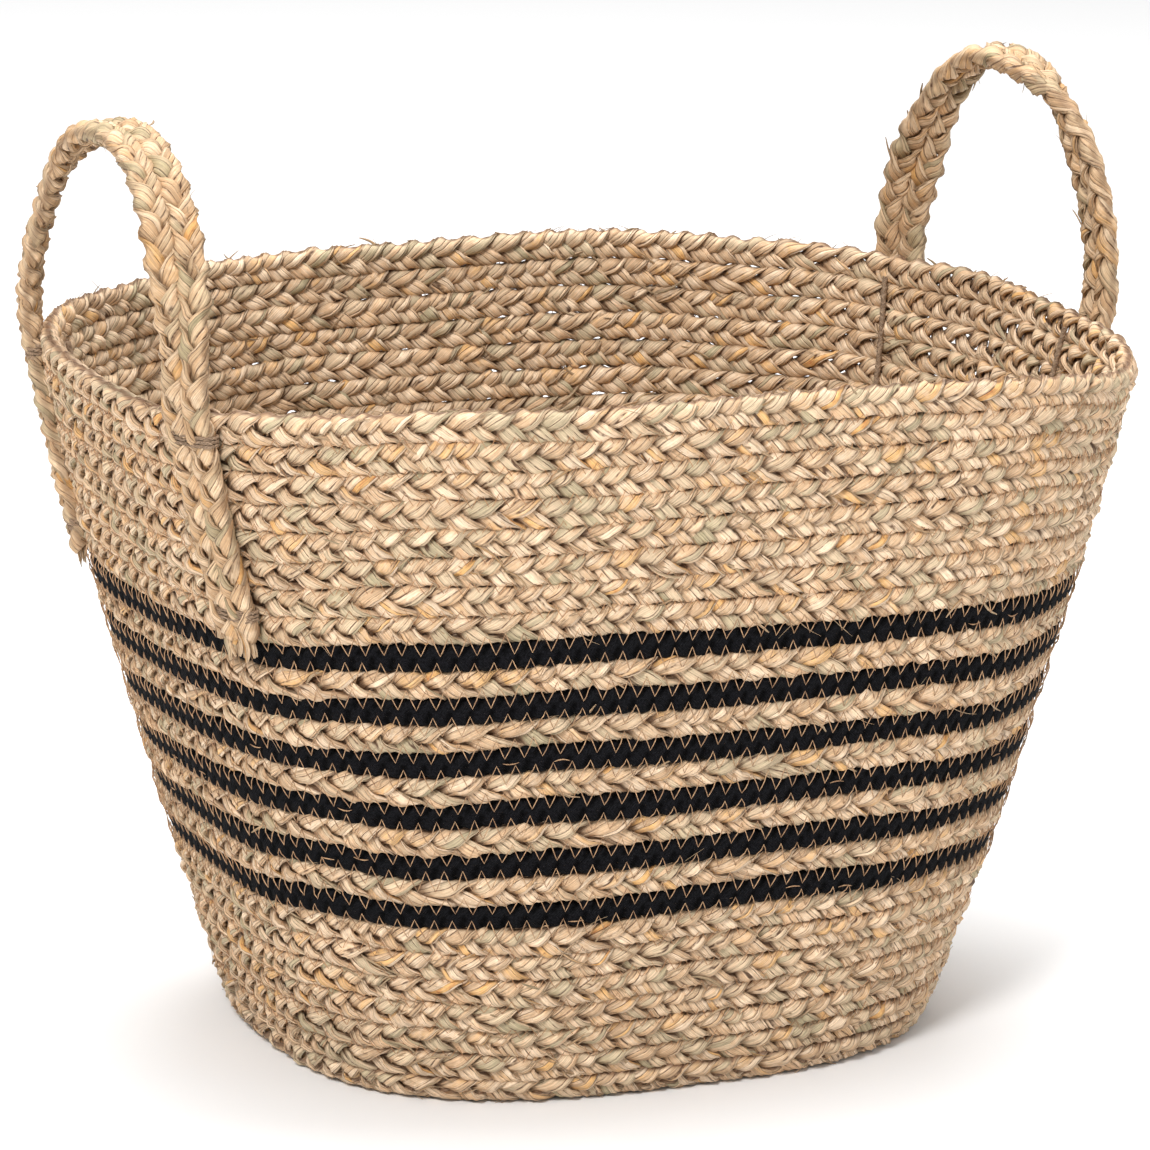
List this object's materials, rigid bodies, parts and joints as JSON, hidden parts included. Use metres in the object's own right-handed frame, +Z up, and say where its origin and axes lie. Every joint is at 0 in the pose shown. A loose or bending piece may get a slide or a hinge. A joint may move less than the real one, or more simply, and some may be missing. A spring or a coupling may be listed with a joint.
{
  "type": "storage basket",
  "caption": "Oval storage basket of sewn seagrass plait rows with black cotton stripe bands, flaring to an open rim, with a braided strap loop handle on each short end.",
  "frame": {"origin": "centre of the base's flat underside, on the surface the basket stands on", "axes": "+X along the basket's long side towards one handle, +Z up through the open top, +Y towards the back long side"},
  "size_m": [0.466, 0.3442, 0.4007],
  "materials": {
    "seagrass": "dry plaited seagrass, tan with grey-green and orange strands, matte",
    "black_cotton": "black braided cotton band, matte",
    "brown_twine": "brown jute twine and tan seam thread, fuzzy matte"
  },
  "bodies": {
    "basket": {"base_coil": "seagrass", "lower_wall_coil": "seagrass", "black_band_1": "black_cotton", "natural_band_1": "seagrass", "black_band_2": "black_cotton", "natural_band_2": "seagrass", "black_band_3": "black_cotton", "natural_band_3": "seagrass", "black_band_4": "black_cotton", "natural_band_4": "seagrass", "black_band_5": "black_cotton", "natural_band_5": "seagrass", "black_band_6": "black_cotton", "upper_wall_coil": "seagrass", "rim_row": "seagrass", "left_front_leg_plait_a": "seagrass", "left_front_leg_plait_b": "seagrass", "left_back_leg_plait_a": "seagrass", "left_back_leg_plait_b": "seagrass", "right_front_leg_plait_a": "seagrass", "right_front_leg_plait_b": "seagrass", "right_back_leg_plait_a": "seagrass", "right_back_leg_plait_b": "seagrass", "left_front_twine": "brown_twine", "left_back_twine": "brown_twine", "right_front_twine": "brown_twine", "right_back_twine": "brown_twine"},
    "left_handle": {"left_loop_inner_plait": "seagrass", "left_loop_outer_plait": "seagrass"},
    "right_handle": {"right_loop_inner_plait": "seagrass", "right_loop_outer_plait": "seagrass"}
  },
  "joints": [
    {"name": "left_handle_bend", "type": "hinge", "parent": "basket", "child": "left_handle", "pos_m": [-0.21754, 0.00209, 0.312], "axis": [0.0103, 0.9999, 0], "range_deg": [-80, 75], "stiffness_Nm_per_rad": 0.15},
    {"name": "right_handle_bend", "type": "hinge", "parent": "basket", "child": "right_handle", "pos_m": [0.21853, 0.04656, 0.312], "axis": [0.1919, -0.9814, 0], "range_deg": [-80, 75], "stiffness_Nm_per_rad": 0.15}
  ]
}
